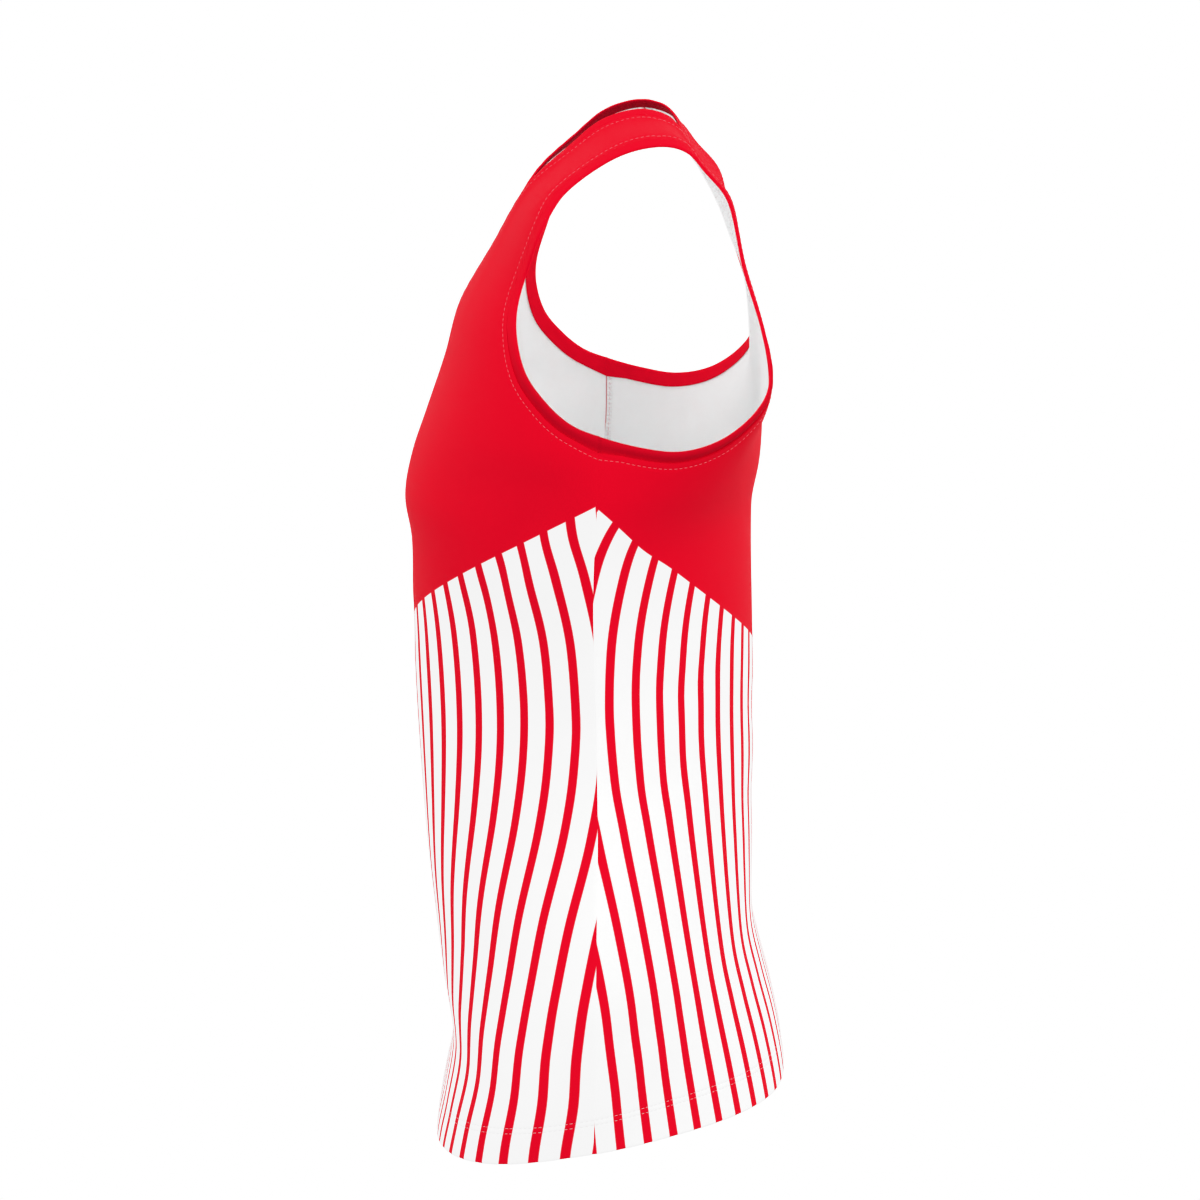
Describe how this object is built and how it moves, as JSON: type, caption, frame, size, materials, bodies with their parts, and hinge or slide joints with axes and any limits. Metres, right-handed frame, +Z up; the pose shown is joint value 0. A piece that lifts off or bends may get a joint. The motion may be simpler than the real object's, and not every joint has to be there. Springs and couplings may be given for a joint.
{
  "type": "track jersey",
  "caption": "Sleeveless striped track jersey in its worn shape, hollow, with bound neck and armholes and a curved hem.",
  "frame": {"origin": "midway between the straps, at the height of the shoulder line's neck ends, where the straps rest on the wearer's shoulders", "axes": "+Z up, -Y to the front, +X to the wearer's left"},
  "size_m": [0.3896, 0.2359, 0.6365],
  "materials": {
    "striped_knit_front": "smooth matte knit, red yoke and stripes on white",
    "striped_knit_back": "smooth matte knit, red yoke and stripes on white",
    "neck_band_knit": "matte knit, folded",
    "armhole_band_knit_left": "matte knit, folded",
    "armhole_band_knit_right": "matte knit, folded"
  },
  "bodies": {
    "root": {"front_panel": "striped_knit_front", "back_panel": "striped_knit_back", "neck_band": "neck_band_knit", "armhole_band_left": "armhole_band_knit_left", "armhole_band_right": "armhole_band_knit_right"}
  },
  "joints": []
}
